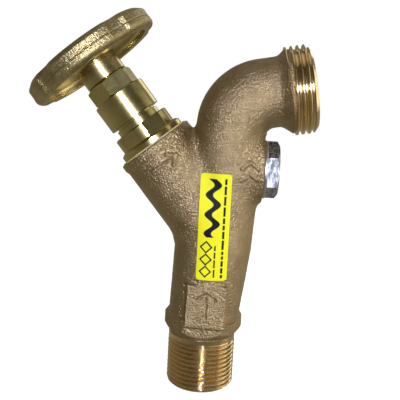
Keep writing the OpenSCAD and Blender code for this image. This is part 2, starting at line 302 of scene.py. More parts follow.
def field_mesh(field, low, high, step):
    """Quad mesh of a field's zero surface over a box."""
    axes = [np.arange(a, b + step, step, dtype=np.float32) for a, b in zip(low, high)]
    x, y, z = axes[0][:, None, None], axes[1][None, :, None], axes[2][None, None, :]
    values = np.clip(field(x, y, z), -4 * step, 4 * step).astype(np.float32)
    grid = openvdb.FloatGrid(4 * step)
    grid.copyFromArray(np.ascontiguousarray(values))
    points, quads = grid.convertToQuads(0.0)
    verts = np.asarray(points, float) * step + np.array([a[0] for a in axes])
    return verts, outward(verts, np.asarray(quads))


def bonnet_coords(x, y, z):
    """Station along the bonnet axis, reach towards its upper side, and distance from the axis."""
    dx, dz = x - BONNET_POINT[0], z - BONNET_POINT[2]
    along = dx * BONNET_AXIS[0] + dz * BONNET_AXIS[2]
    reach = dx * BONNET_SIDE[0] + dz * BONNET_SIDE[2]
    return along, reach, np.sqrt(reach * reach + y * y)


def outlet_coords(x, y, z, lift=0.0):
    """Station from the outlet's end, and distance from its axis, which may be lifted."""
    n = np.array([-OUTLET_AXIS[2], 0, OUTLET_AXIS[0]])
    dx, dz = x - OUTLET_END[0] - lift * n[0], z - OUTLET_END[2] - lift * n[2]
    along = dx * OUTLET_AXIS[0] + dz * OUTLET_AXIS[2]
    reach = dx * n[0] + dz * n[2]
    return along, np.sqrt(reach * reach + y * y)


ELBOW_X = BOSS_FACE_X + 0.1
OUTLET_RUN = (OUTLET_END[0] + ELBOW_R * OUTLET_AXIS[2] - ELBOW_X) / OUTLET_AXIS[0]
NECK_LIFT = 0.45
ELBOW_Z = OUTLET_END[2] - OUTLET_RUN * OUTLET_AXIS[2] - (ELBOW_R - NECK_LIFT) * OUTLET_AXIS[0]
LEG_X = ELBOW_X - ELBOW_R
ELBOW_TOP = 90 + OUTLET_TILT
TRUNK_LOW = (0.3, 0.0, 29.0)
TRUNK_MID = (2.6, 0.0, 57.0)


def trunk_field(x, y, z):
    """Two cones that meet at the trunk's waist."""
    lower = cone_field(x, y, z, TRUNK_LOW, TRUNK_MID, 13.75, 14.95)
    upper = cone_field(x, y, z, TRUNK_MID, (LEG_X, 0, ELBOW_Z), 14.95, NECK_R)
    waist = np.sqrt((x - TRUNK_MID[0]) ** 2 + y * y + (z - TRUNK_MID[2]) ** 2) - 14.97
    return np.minimum(np.minimum(lower, upper), waist)


def neck_field(x, y, z):
    """Swan neck: a bend, a straight run and the shoulder behind the outlet thread."""
    bend = elbow_field(x, y, z, (ELBOW_X, ELBOW_Z), ELBOW_R, NECK_R, ELBOW_TOP, 180)
    along, radial = outlet_coords(x, y, z, NECK_LIFT)
    run = rounded_drum(radial, along, NECK_R, -OUTLET_RUN, -6, 1)
    along, radial = outlet_coords(x, y, z)
    flare = np.maximum((radial - 15.75 - (along + 9.5) * 0.8) * 0.78, np.abs(along + 10.2) - 2.9)
    flare = np.maximum(flare, radial - 15.6)
    return blend_min(np.minimum(bend, run), flare, 0.8)


def inner_bend_field(x, y, z):
    """Wider bend on the same two axes, which rounds the corner under the neck."""
    tilt = math.radians(OUTLET_TILT)
    wider = WIDE_ELBOW_R - ELBOW_R
    slide = wider * (1 - math.sin(tilt)) / math.cos(tilt)
    centre = (LEG_X + WIDE_ELBOW_R, ELBOW_Z - wider * math.cos(tilt) + slide * math.sin(tilt))
    return elbow_field(x, y, z, centre, WIDE_ELBOW_R, NECK_R, ELBOW_TOP, 180)


def branch_field(x, y, z):
    """Oblique branch with a slight lip at its mouth and a round root inside the trunk."""
    along, _, radial = bonnet_coords(x, y, z)
    drum = rounded_drum(radial, along, BRANCH_R, 0, MOUTH, 0.7)
    ball = np.sqrt(radial ** 2 + (along - 4) ** 2) - BRANCH_R
    lip = rounded_drum(radial, along, BRANCH_R + 0.35, MOUTH - 3.2, MOUTH, 0.7)
    return np.minimum(blend_min(drum, lip, 1.2), ball)


def hexagon_field(x, y, flats, corner):
    """Hexagon with corners on the X axis and slightly rounded edges."""
    px, py = np.abs(x), np.abs(y)
    slant = px * math.cos(math.radians(30)) + py * 0.5
    inner = flats / 2 - corner
    a = np.maximum(slant - inner, 0)
    b = np.maximum(py - inner, 0)
    return np.minimum(np.maximum(slant, py) - inner, 0) + np.hypot(a, b) - corner


def collar_field(x, y, z):
    """Hexagonal collar with its corners turned off above and below."""
    hexagon = hexagon_field(x - 0.25, y, 27.2, 0.5)
    radial = np.sqrt((x - 0.25) ** 2 + y * y)
    low_cone = (radial - 13.0 - (z - 21.9) * 0.95) * 0.72
    high_cone = (radial - 13.6 + (z - 30.6) * 1.1) * 0.67
    turned_off = -blend_min(-low_cone, -high_cone, 1.5)
    ends = np.abs(z - 26.2) - 4.4
    return -blend_min(-np.maximum(hexagon, ends), -np.maximum(turned_off, radial - 15.3), 0.6)


def casting_outside(x, y, z):
    """Everything that was poured, before any face or bore is cut."""
    radial = np.sqrt(x * x + y * y)
    run = np.minimum(trunk_field(x, y, z), neck_field(x, y, z))
    body = blend_min(run, branch_field(x, y, z), 3.6)
    boss_r = np.sqrt(y * y + (z - PLUG_Z) ** 2)
    boss = rounded_drum(boss_r, x, BOSS_R, 4, BOSS_FACE_X + 2, 0.5)
    body = blend_min(body, boss, 4.5)
    body = blend_min(body, collar_field(x, y, z), 1.0)
    pads = rounded_box(x, y, z, (1.25, 0, 35.45), (7.65, 14.55, 8.55), 0.45, 1.5)
    body = blend_min(body, pads, 0.7)
    stub = rounded_drum(radial, z, INLET_R - 0.15, 21.2, 26, 0.1)
    body = np.minimum(body, stub)
    root = rounded_drum(radial, z, 11.6, 1.0, 24, 0.1)
    return np.minimum(body, root)


def raised(edge, softness=0.35):
    """Turns a flat outline's distance into a mark's height, from 0 outside to 1 inside."""
    t = np.clip(0.5 - edge / softness, 0, 1)
    return t * t * (3 - 2 * t)


def bar(u, v, start, end, half_width):
    """Distance to a round-ended bar in a plane."""
    du, dv = end[0] - start[0], end[1] - start[1]
    t = np.clip(((u - start[0]) * du + (v - start[1]) * dv) / (du * du + dv * dv), 0, 1)
    return np.hypot(u - start[0] - t * du, v - start[1] - t * dv) - half_width


def cast_marks(x, y, z):
    """Height of the plain cast-in marks and of the flash left on the branch, in mm. They spell nothing."""
    front = y < -3
    along, reach, _ = bonnet_coords(x, y, z)
    u, v = reach - 0.6, along - 27.0
    arrow = bar(u, v, (-5.4, 0), (5.4, 0), 0.5)
    arrow = np.minimum(arrow, bar(u, v, (5.4, 0), (2.2, 2.5), 0.5))
    arrow = np.minimum(arrow, bar(u, v, (5.4, 0), (2.2, -2.5), 0.5))
    height = 0.75 * raised(arrow, 0.3)
    chevrons = np.full(x.shape, 9.0)
    for peak in (86.6, 91.0):
        chevrons = np.minimum(chevrons, bar(x, z, (11.8, peak - 2.4), (15.0, peak), 0.55))
        chevrons = np.minimum(chevrons, bar(x, z, (15.0, peak), (18.2, peak - 2.4), 0.55))
    height = height + 0.7 * raised(chevrons, 0.3)
    groove = bar(x, z, (1.3, 31.2), (1.3, 40.6), 0.45)
    groove = np.minimum(groove, bar(x, z, (1.3, 40.6), (-2.0, 38.6), 0.5))
    groove = np.minimum(groove, bar(x, z, (1.3, 40.6), (4.6, 38.6), 0.5))
    height = height - 0.7 * raised(groove, 0.3)
    broken = np.clip(value_noise(x, y, z, 1.1, 31) * 3 + 0.4, 0, 1)
    flash = bar(reach, along, (-3.8, 10.0), (4.4, 11.0), 0.22)
    height = height + 0.32 * raised(flash, 0.3) * broken
    return np.where(front, height, 0)


def surface_grain(x, y, z):
    """Sand-cast unevenness: slow waves and a fine grain on turned axes, in mm."""
    a = 0.36 * x + 0.48 * y - 0.8 * z
    b = 0.6 * y - 0.8 * x
    c = 0.48 * x + 0.64 * y + 0.6 * z
    return 0.05 * value_noise(x, y, z, 9.0, 11) + 0.015 * value_noise(a, b, c, 2.0, 12) \
        + 0.022 * value_noise(a, b, c, 1.05, 13) + 0.034 * value_noise(a, b, c, 0.7, 14)


def waterways(x, y, z):
    """Bores and chambers, as one field that is negative where the water runs."""
    radial = np.sqrt(x * x + y * y)
    along, _, bonnet_radial = bonnet_coords(x, y, z)
    inlet = np.maximum(rounded_drum(radial, z, BORE_R, -10, 80, 0.5), along - 2.2)
    swell = np.maximum(rounded_drum(np.sqrt((x - 3) ** 2 + y * y), z, 10.5, 48, 92, 3), along - 2.2)
    link = rounded_drum(np.sqrt((x - 11) ** 2 + y * y), z, 5, 58, 88, 2)
    low = np.minimum(np.minimum(inlet, swell), link)
    port = rounded_drum(np.sqrt(y * y + (z - PLUG_Z) ** 2), x, 8.33, 12.8, 30, 0.3)
    chamber = rounded_drum(bonnet_radial, along, 11.5, 6.2, 30, 1.0)
    mouth = rounded_drum(bonnet_radial, along, 11.9, MOUTH - 9, MOUTH + 5, 0.2)
    seat = rounded_drum(bonnet_radial, along, 8.8, 0, 8, 0.1)
    throat_angle = math.radians(165)
    throat = (ELBOW_X + ELBOW_R * math.cos(throat_angle), 0, ELBOW_Z + ELBOW_R * math.sin(throat_angle))
    gate = cone_field(x, y, z, (-7.1, 0, 89.3), throat, 6.5, 6.5)
    bend = elbow_field(x, y, z, (ELBOW_X, ELBOW_Z), ELBOW_R, BORE_R, ELBOW_TOP, 165)
    out_along, out_radial = outlet_coords(x, y, z)
    run = rounded_drum(out_radial, out_along, BORE_R, -OUTLET_RUN, 20, 0.2)
    high = blend_min(np.minimum(chamber, gate), np.minimum(bend, run), 2.0)
    return np.minimum(np.minimum(low, port), np.minimum(np.minimum(high, mouth), seat))


def casting_field(x, y, z):
    """The whole casting: its outside, its faced mouth and boss, and its waterways."""
    skin = casting_outside(x, y, z)
    along, _, bonnet_radial = bonnet_coords(x, y, z)
    mouth_face = rounded_drum(bonnet_radial, along, BRANCH_R + 0.45, MOUTH, MOUTH + 12, 0.1)
    skin = cut(skin, mouth_face, 0.3)
    boss_r = np.sqrt(y * y + (z - PLUG_Z) ** 2)
    spot = rounded_drum(boss_r, x, BOSS_R + 1.3, BOSS_FACE_X, BOSS_FACE_X + 8, 0.1)
    skin = np.minimum(cut(skin, spot, 0.3), inner_bend_field(x, y, z))
    return cut(skin, waterways(x, y, z), 0.4)


def rough_share(x, y, z):
    """1 where the skin is as cast, 0 on machined faces and inside the bores."""
    along, _, bonnet_radial = bonnet_coords(x, y, z)
    out_along, _ = outlet_coords(x, y, z)
    far = 20
    boss_face = BOSS_FACE_X - 0.3 - x + far * (z > PLUG_Z + 12)
    mouth_face = MOUTH - 0.3 - along + far * (bonnet_radial > 16)
    share = np.minimum(boss_face, mouth_face)
    share = np.minimum(share, np.minimum(z - 22.0, -out_along - 12.0))
    share = np.minimum(share, waterways(x, y, z) - 0.5)
    return np.clip(share / 0.7, 0, 1)


def casting(materials):
    """The cast body: meshed from its distance field, then roughened along its normals."""
    step = 0.3
    verts, faces = field_mesh(casting_field, (-36.0, -17.0, 0.0), (33.5, 17.0, 133.0), step)
    x, y, z = verts[:, 0], verts[:, 1], verts[:, 2]
    h = 0.15
    slope = np.stack([casting_field(x + h, y, z) - casting_field(x - h, y, z),
                      casting_field(x, y + h, z) - casting_field(x, y - h, z),
                      casting_field(x, y, z + h) - casting_field(x, y, z - h)], 1)
    normals = slope / np.maximum(np.linalg.norm(slope, axis=1), 1e-9)[:, None]
    height = (surface_grain(x, y, z) + cast_marks(x, y, z)) * rough_share(x, y, z)
    verts = verts + normals * height[:, None]
    return new_object("valve_body_casting", verts, faces, materials, smooth_angle=0)


# ---------------------------------------------------------------- threads

def thread_skin(name, size, high, ridge_end, end_bevel, placing, material):
    """A screwed length: helical ridges up to a station, bevelled at the free end, with a face and a bore."""
    crest_r, pitch = size
    depth = THREAD_DEPTH * pitch
    root_r = crest_r - depth
    face_r = root_r - 0.55
    run_out = 1.2
    count = 256
    step = pitch / 28
    theta = np.linspace(0, 2 * math.pi, count, endpoint=False)
    z = np.arange(0, high + step / 2, step)
    phase = (z[:, None] + pitch * theta[None, :] / (2 * math.pi)) / pitch
    wave = np.abs(np.mod(phase, 1) - 0.5) * 2
    ridge = np.clip((wave - 0.16) / 0.68, 0, 1)
    ridge = ridge * 0.25 + 0.75 * (ridge * ridge * (3 - 2 * ridge))
    fade = np.clip((ridge_end - z) / run_out, 0, 1)[:, None]
    r = crest_r - depth * (1 - ridge) * fade ** 0.5 - 0.12 * (1 - fade)
    r = np.minimum(r, face_r + z[:, None] * (crest_r - face_r) / end_bevel)
    rings = [(BORE_R + 0.9, 6.0), (BORE_R - 0.03, 6.0), (BORE_R - 0.03, 0.5), (BORE_R + 0.35, 0.0)]
    rings += [(face_r - 0.2, 0.0)] + [(constant(row), float(at)) for row, at in zip(r, z)]
    rings += [(root_r - 0.9, float(z[-1]))]
    verts, faces = ring_stack(rings, count)
    return new_object(name, place(verts, *placing), outward(verts, faces), [material], smooth_angle=75)


def constant(row):
    """A ring's radius that is already known at each of its angles."""
    return lambda theta: row


# ---------------------------------------------------------------- turned parts

Z_AXIS = np.array([0, 0, 1.0])
X_AXIS = np.array([1.0, 0, 0])
ON_BONNET = (BONNET_POINT, BONNET_AXIS, BONNET_SIDE)
ON_PLUG = (np.array([0, 0, PLUG_Z]), X_AXIS, Z_AXIS)


def turned(name, rings, material, placing=ON_BONNET, count=192):
    """Closed skin of rings, placed by an origin, an axis and a side."""
    verts, faces = ring_stack(rings, count)
    return new_object(name, place(verts, *placing), outward(verts, faces), [material], smooth_angle=25)


def bonnet_piece(material):
    """Headwork: spigot, flange, hexagon with turned-off corners, groove and packing box."""
    low = station_box("bonnet")[0]
    flange_low = station_box("bonnet_gasket")[1]
    flange_high = flange_low + 2.0
    hex_high = 44.0
    flange_r = 13.2
    rings = [
        (6.06, low), (11.0, low), (11.85, low + 0.8), (11.85, flange_low), (flange_r - 0.15, flange_low),
        (flange_r, flange_low + 0.15), (flange_r, flange_high - 0.1), (flange_r - 0.1, flange_high),
        (12.15, flange_high + 0.75), (11.95, flange_high + 0.8)
    ]
    hexagon = bevelled_hex(BONNET_FLATS, BONNET_TURN, flange_high + 0.8, hex_high, high_turned=10.9,
                           corner_limit=11.7)
    rings += hexagon[1:]
    rings += [
        (9.15, hex_high), (8.95, hex_high + 0.1), (8.95, 46.25), (8.8, 46.4), (8.2, 46.4), (8.2, 47.2),
        (10.3, 47.2), (10.51, 47.4), (10.51, BONNET_TOP - 0.25), (10.3, BONNET_TOP), (8.1, BONNET_TOP),
        (8.0, BONNET_TOP - 0.1), (8.0, 48.7), (SPINDLE_BORE_R, 48.7), (SPINDLE_BORE_R, 46.2), (6.06, 46.2)
    ]
    return turned("bonnet_turned", rings, material, count=360)


def gland_piece(material):
    """Gland nut: a skirt inside the packing box and a hexagon above it."""
    low = station_box("gland_nut")[0]
    rings = [(SPINDLE_BORE_R, low), (7.8, low), (7.95, low + 0.15), (7.95, BONNET_TOP)]
    rings += bevelled_hex(GLAND_FLATS, GLAND_TURN, BONNET_TOP, GLAND_TOP, low_turned=8.75, high_turned=8.5)
    rings += [(5.3, GLAND_TOP), (SPINDLE_BORE_R, GLAND_TOP - 0.25)]
    return turned("gland_nut_hex", rings, material, count=360)


def wheel_outline(theta):
    """Depth that the rim's five scallops take off its radius, as a function of the angle."""
    cutter = 9.0
    depth = 1.3
    first = math.radians(-122.5)
    step = 2 * math.pi / 5
    off = np.mod(theta - first + step / 2, step) - step / 2
    centre = WHEEL_R + cutter - depth
    inside = np.maximum(cutter ** 2 - (centre * np.sin(off)) ** 2, 0)
    reach = centre * np.cos(off) - np.sqrt(inside)
    reach = np.where(centre * np.abs(np.sin(off)) < cutter, reach, WHEEL_R)
    return WHEEL_R - np.minimum(reach, WHEEL_R)


def handwheel_piece(cast, machined):
    """Lobed cup-shaped wheel: cast rim and web, turned hub and inner wall."""
    hub_r = 8.34
    inner_r = 22.3
    rim_low = 71.0
    web_low = 74.0
    web_top = 77.2
    top = WHEEL_HIGH
    rings = [(5.1, WHEEL_LOW + 0.25), (5.35, WHEEL_LOW), (hub_r - 0.25, WHEEL_LOW), (hub_r, WHEEL_LOW + 0.25)]
    rings += [(hub_r, WHEEL_LOW + 0.25 + k * 1.5) for k in range(1, 5)]
    rings += rounded_corner(hub_r + 1.5, web_low - 1.5, 1.5, 180, 90)
    rings += [(hub_r + 1.5 + k * (inner_r - hub_r - 3) / 6, web_low) for k in range(1, 6)]
    rings += rounded_corner(inner_r - 1.2, web_low - 1.2, 1.2, 90, 0)
    rings += [(inner_r, 72.0), (inner_r, rim_low + 0.3), (inner_r + 0.25, rim_low + 0.05)]
    smooth_end = len(rings)

    def outer(r):
        return lambda theta: r - wheel_outline(theta) * min(1.0, max(0.0, (r - 23.0) / 2.5))

    rim = [(inner_r + 1.0, rim_low)]
    rim += [(WHEEL_R - 2.2 + 2.2 * math.sin(a), rim_low + 2.2 - 2.2 * math.cos(a))
            for a in np.radians(np.linspace(5, 90, 9))]
    rim += [(WHEEL_R, z) for z in np.linspace(rim_low + 2.6, top - 1.9, 30)]
    rim += [(WHEEL_R - 0.15, top - 1.55), (WHEEL_R - 0.5, top - 1.2)]
    rim += [(WHEEL_R - 1.6, top - 0.3), (WHEEL_R - 2.0, top)]
    rings += [(outer(r), z) for r, z in rim]
    rings += [(inner_r + 1.2, top)]
    rings += [(inner_r - 0.4, top - 0.25), (inner_r - 1.2, web_top + 0.5), (inner_r - 2.4, web_top)]
    rings += [(r, web_top) for r in (18.0, 14.0, 10.5)]
    rings += [(9.2, web_top - 0.1), (8.6, web_top), (5.4, web_top), (5.1, web_top - 0.3)]
    count = 960
    verts, faces = ring_stack(rings, count)
    faces = outward(verts, faces)
    ring_index = np.repeat(np.arange(len(rings)), count)
    slots = (ring_index >= smooth_end - 1).astype(np.int32)
    rough = np.clip((ring_index - smooth_end) / 2.0, 0, 1)
    verts[:, :2] *= wheel_grain(verts[:, 0], verts[:, 1], verts[:, 2], rough)[:, None]
    return new_object("handwheel_cast", place(verts, *ON_BONNET), faces, [machined, cast], smooth_angle=28,
                      face_slots=slots)


def wheel_grain(x, y, z, rough):
    """Factor on a wheel point's radius: cast grain, and a broken groove where the two mould halves met."""
    radial = np.hypot(x, y)
    on_rim = radial > 24.5
    grain = 0.05 * value_noise(x, y, z, 5.0, 21) + 0.025 * value_noise(x, y, z, 0.8, 22)
    seam_z = 74.6 + 0.15 * value_noise(x, y, 0 * z, 4.0, 23)
    seam = np.exp(-((z - seam_z) / 0.20) ** 2) * on_rim * 1.3
    step = 0.12 * np.clip((seam_z - z) / 0.3, 0, 1) * on_rim
    patchy = np.clip(0.5 + value_noise(x, y, 0 * z, 3.0, 24), 0, 1)
    push = (grain + step - 0.12 - 0.28 * seam * patchy) * rough * (radial > 9.5)
    return 1 + push / np.maximum(radial, 1)


def wheel_nut_piece(material):
    """Thin hexagonal nut on top of the wheel."""
    low, high, _ = station_box("handwheel_nut")
    rings = [(3.2, low + 0.15), (3.45, low)]
    rings += bevelled_hex(WHEEL_NUT_FLATS, WHEEL_NUT_TURN, low, high, low_turned=4.95, high_turned=4.9)
    rings += [(3.4, high), (3.1, high - 0.3)]
    return turned("handwheel_nut_hex", rings, material, count=240)


def wheel_washer_piece(material):
    """Flat washer under the wheel's nut."""
    low, high, outer = station_box("handwheel_washer")
    rings = [(3.15, low), (outer - 0.15, low), (outer, low + 0.12)]
    rings += [(outer, high - 0.2), (outer - 0.25, high), (3.15, high)]
    return turned("handwheel_washer_disc", rings, material)


def plug_piece(material):
    """Hexagonal drain plug on its axis along +X."""
    head_low, head_high = SEAL_HIGH[0], PLUG_HIGH[0]
    rings = [(0.01, PLUG_LOW[0]), (7.4, PLUG_LOW[0]), (8.25, PLUG_LOW[0] + 0.9), (8.25, head_low)]
    rings += bevelled_hex(PLUG_FLATS, PLUG_TURN, head_low, head_high, high_turned=9.35, slope=0.6)
    rings += [(6.0, head_high), (5.6, head_high - 0.25), (0.01, head_high - 0.3)]
    return turned("drain_plug_hex", rings, material, ON_PLUG, count=360)


def plug_seal_piece(material):
    """Soft metal ring between the plug's head and the boss."""
    low, high = SEAL_LOW[0], SEAL_HIGH[0]
    outer = (SEAL_HIGH[2] - SEAL_LOW[2]) / 2
    rings = [(8.35, low), (outer - 0.3, low), (outer - 0.05, low + 0.25), (outer, (low + high) / 2),
             (outer - 0.05, high - 0.25), (outer - 0.3, high), (8.35, high)]
    return turned("drain_plug_ring", rings, material, ON_PLUG)


# ---------------------------------------------------------------- label

LABEL_LOW, LABEL_HIGH = (np.array(v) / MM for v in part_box("body_label"))
LABEL_W, LABEL_H = LABEL_HIGH[0] - LABEL_LOW[0], LABEL_HIGH[2] - LABEL_LOW[2]
LABEL_X, LABEL_Z = (LABEL_LOW[0] + LABEL_HIGH[0]) / 2, (LABEL_LOW[2] + LABEL_HIGH[2]) / 2


def ink_edge(b, a):
    """Distance to the label's printed shapes in mm; a runs up from its foot, b in from its right edge."""
    edge = np.full(a.shape, 9.0)
    # a bold wave, three outlined lozenges, and rows of short dashes
    wave = np.abs(b - 6.5 - 1.55 * np.sin((a - 16.2) * 2 * math.pi / 7.2)) * 0.72 - 1.0
    edge = np.minimum(edge, np.maximum(wave, np.abs(a - 27.4) - 10.9))
    for centre in (3.4, 8.1, 12.8):
        da, db = a - centre, b - 8.2
        lozenge = (np.abs(da) + np.abs(db)) * 0.7071 - 1.45
        edge = np.minimum(edge, np.abs(lozenge) - 0.27)
    rng = np.random.default_rng(5)
    for row_b, start, end, half in ((4.9, 1.2, 14.6, 0.30), (2.1, 1.0, 39.0, 0.42)):
        at = start
        while at < end - 1:
            length = min(float(rng.uniform(1.2, 3.6)), end - at)
            dash = np.maximum(np.abs(a - at - length / 2) - length / 2, np.abs(b - row_b) - half)
            edge = np.minimum(edge, dash)
            at += length + 0.55
    return edge


def label_piece(materials):
    """Printed film laid on the front of the trunk, following its curve, with round corners."""
    nx, nz = ((116, 404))
    width, height = LABEL_W, LABEL_H
    corner = 1.1
    thick = 0.34
    uu, vv = np.meshgrid(np.linspace(0, 1, nx), np.linspace(0, 1, nz), indexing="ij")
    x_flat = (uu - 0.5) * width
    z_flat = (vv - 0.5) * height
    # pull the grid's border in to round corners
    ax = np.clip(np.abs(x_flat) - (width / 2 - corner), 0, None)
    az = np.clip(np.abs(z_flat) - (height / 2 - corner), 0, None)
    reach = np.maximum(ax, az)
    scale = np.where((ax > 0) & (az > 0), reach / np.maximum(np.hypot(ax, az), 1e-6), 1.0)
    x_flat = np.sign(x_flat) * (np.minimum(np.abs(x_flat), width / 2 - corner) + ax * scale)
    z_flat = np.sign(z_flat) * (np.minimum(np.abs(z_flat), height / 2 - corner) + az * scale)
    x = LABEL_X + x_flat
    z = LABEL_Z + z_flat
    # walk each point in from the front until it lies on the casting
    y = np.full(x.shape, -24.0)
    for _ in range(40):
        y = y + np.maximum(casting_outside(x, y, z) - 0.2, -0.2) * 0.9
    verts = np.stack([x, y, z], -1).reshape(-1, 3)
    back = verts.copy()
    back[:, 1] += thick
    index = np.arange(nx * nz).reshape(nx, nz)
    quads = np.stack([index[:-1, :-1], index[1:, :-1], index[1:, 1:], index[:-1, 1:]], -1).reshape(-1, 4)
    rim = np.concatenate([index[:, 0], index[-1, 1:], index[-2::-1, -1], index[0, -2:0:-1]])
    following = np.roll(rim, -1)
    n = nx * nz
    sides = np.stack([following, rim, rim + n, following + n], 1)
    faces = np.concatenate([quads, quads[:, ::-1] + n, sides])
    both = np.concatenate([verts, back])
    obj = new_object("body_label_film", both, outward(both, faces), materials, smooth_angle=40)
    edge = ink_edge(width / 2 - x_flat, z_flat + height / 2).reshape(-1)
    ink = obj.data.attributes.new("ink_edge", "FLOAT", "POINT")
    ink.data.foreach_set("value", np.concatenate([edge, np.full(n, 9.0)]).astype(np.float32))
    return obj


# ---------------------------------------------------------------- materials

class Nodes:
    """Short-hand for building a node tree."""

    def __init__(self, name):
        self.material = bpy.data.materials.new(name)
        self.material.use_nodes = True
        self.tree = self.material.node_tree
        self.tree.nodes.clear()
        self.shader = self.add("ShaderNodeBsdfPrincipled")
        self.output = self.add("ShaderNodeOutputMaterial")
        self.link(self.shader.outputs[0], self.output.inputs[0])
        self.coords = self.add("ShaderNodeTexCoord").outputs["Object"]

    def add(self, kind, **values):
        node = self.tree.nodes.new(kind)
        for key, value in values.items():
            setattr(node, key, value)
        return node

    def link(self, a, b):
        self.tree.links.new(a, b)

    def noise(self, scale, detail=3.0, roughness=0.55, vector=None):
        node = self.add("ShaderNodeTexNoise")
        node.inputs["Scale"].default_value = scale
        node.inputs["Detail"].default_value = detail
        node.inputs["Roughness"].default_value = roughness
        self.link(vector or self.coords, node.inputs["Vector"])
        return node.outputs["Fac"]

    def ramp(self, value, stops):
        node = self.add("ShaderNodeValToRGB")
        while len(node.color_ramp.elements) < len(stops):
            node.color_ramp.elements.new(0.5)
        for element, (position, colour) in zip(node.color_ramp.elements, stops):
            element.position = position
            element.color = (*colour, 1) if len(colour) == 3 else colour
        self.link(value, node.inputs[0])
        return node.outputs[0]

    def spread(self, value, low, high, out_low, out_high):
        node = self.add("ShaderNodeMapRange")
        node.inputs["From Min"].default_value = low
        node.inputs["From Max"].default_value = high
        node.inputs["To Min"].default_value = out_low
        node.inputs["To Max"].default_value = out_high
        self.link(value, node.inputs["Value"])
        return node.outputs[0]

    def mix(self, factor, a, b, blend="MIX"):
        node = self.add("ShaderNodeMix", data_type="RGBA", blend_type=blend)
        for socket, value in ((node.inputs[0], factor), (node.inputs[6], a), (node.inputs[7], b)):
            if isinstance(value, bpy.types.NodeSocket):
                self.link(value, socket)
            elif isinstance(value, (int, float)):
                socket.default_value = value
            else:
                socket.default_value = (*value, 1)
        return node.outputs[2]

    def math(self, operation, a, b=0.5):
        node = self.add("ShaderNodeMath", operation=operation)
        for socket, value in ((node.inputs[0], a), (node.inputs[1], b)):
            if isinstance(value, bpy.types.NodeSocket):
                self.link(value, socket)
            else:
                socket.default_value = value
        return node.outputs[0]

    def bump(self, height, distance, strength=1.0, normal=None):
        node = self.add("ShaderNodeBump")
        node.inputs["Strength"].default_value = strength
        node.inputs["Distance"].default_value = distance
        self.link(height, node.inputs["Height"])
        if normal is not None:
            self.link(normal, node.inputs["Normal"])
        return node.outputs[0]

    def set(self, **sockets):
        for name, value in sockets.items():
            socket = self.shader.inputs[name.replace("_", " ")]
            if isinstance(value, bpy.types.NodeSocket):
                self.link(value, socket)
            elif isinstance(value, (int, float)):
                socket.default_value = value
            else:
                socket.default_value = (*value, 1)
        return self


def cast_bronze(name, dark, light, edge, rough_low, rough_high, bump_mm):
    """Sand-cast, blasted bronze: a tight grain with bright worn tops and dull hollows."""
    n = Nodes(name)
    mottle = n.noise(210, 4, 0.6)
    patch = n.noise(45, 2, 0.5)
    base = n.ramp(mottle, [(0.36, dark), (0.62, light)])
    base = n.mix(n.spread(patch, 0.4, 0.65, 0.0, 0.4), base, edge)
    coarse = n.noise(1350, 2, 0.5)
    grain = n.noise(2600, 2, 0.5)
    pits = n.spread(n.noise(1000, 1, 0.5), 0.62, 0.74, 0.0, 1.0)
    base = n.mix(n.math("MULTIPLY", pits, 0.3), base, tuple(c * 0.4 for c in dark))
    height = n.math("ADD", n.math("MULTIPLY", coarse, 1.0), n.math("MULTIPLY", grain, 0.45))
    height = n.math("SUBTRACT", height, n.math("MULTIPLY", pits, 0.25))
    normal = n.bump(height, bump_mm * MM)
    roughness = n.spread(coarse, 0.35, 0.65, rough_low, rough_high)
    n.set(Base_Color=base, Metallic=1.0, Roughness=roughness, Normal=normal)
    return n.material


def turned_metal(name, dark, light, rough, axis_point, axis, bump_mm, ring_mm=0.25):
    """Lathe-turned metal: fine rings round its axis, with a little tarnish."""
    n = Nodes(name)
    offset = n.add("ShaderNodeVectorMath", operation="SUBTRACT")
    n.link(n.coords, offset.inputs[0])
    offset.inputs[1].default_value = tuple(np.asarray(axis_point) * MM)
    along = n.add("ShaderNodeVectorMath", operation="DOT_PRODUCT")
    n.link(offset.outputs[0], along.inputs[0])
    along.inputs[1].default_value = tuple(axis)
    scale_vec = n.add("ShaderNodeCombineXYZ")
    n.link(n.math("MULTIPLY", along.outputs["Value"], 1.0 / (ring_mm * MM)), scale_vec.inputs[0])
    lines = n.noise(1.0, 3, 0.7, scale_vec.outputs[0])
    tarnish = n.noise(130, 4, 0.6)
    smear = n.noise(420, 3, 0.6)
    base = n.ramp(tarnish, [(0.35, dark), (0.66, light)])
    roughness = n.spread(smear, 0.3, 0.7, rough * 0.88, rough * 1.12)
    roughness = n.math("ADD", roughness, n.spread(lines, 0.3, 0.7, -0.02, 0.04))
    normal = n.bump(lines, bump_mm * MM)
    normal = n.bump(smear, bump_mm * MM, 0.6, normal)
    n.set(Base_Color=base, Metallic=1.0, Roughness=roughness, Normal=normal)
    return n.material


def worn_nickel():
    """Dull nickel plate with wrench marks and blotches."""
    n = Nodes("nickel_plug")
    stretch = n.add("ShaderNodeMapping")
    stretch.inputs["Scale"].default_value = (1.0, 1.0, 0.35)
    n.link(n.coords, stretch.inputs["Vector"])
    blotch = n.noise(900, 4, 0.7, stretch.outputs[0])
    cloud = n.noise(260, 3, 0.6)
    base = n.ramp(blotch, [(0.43, (0.13, 0.13, 0.135)), (0.57, (0.52, 0.54, 0.55))])
    base = n.mix(n.spread(cloud, 0.35, 0.65, 0.0, 0.4), base, (0.34, 0.33, 0.29))
    n.set(Base_Color=base, Metallic=1.0, Roughness=n.spread(blotch, 0.3, 0.7, 0.62, 0.42),
          Normal=n.bump(blotch, 0.12 * MM))
    return n.material


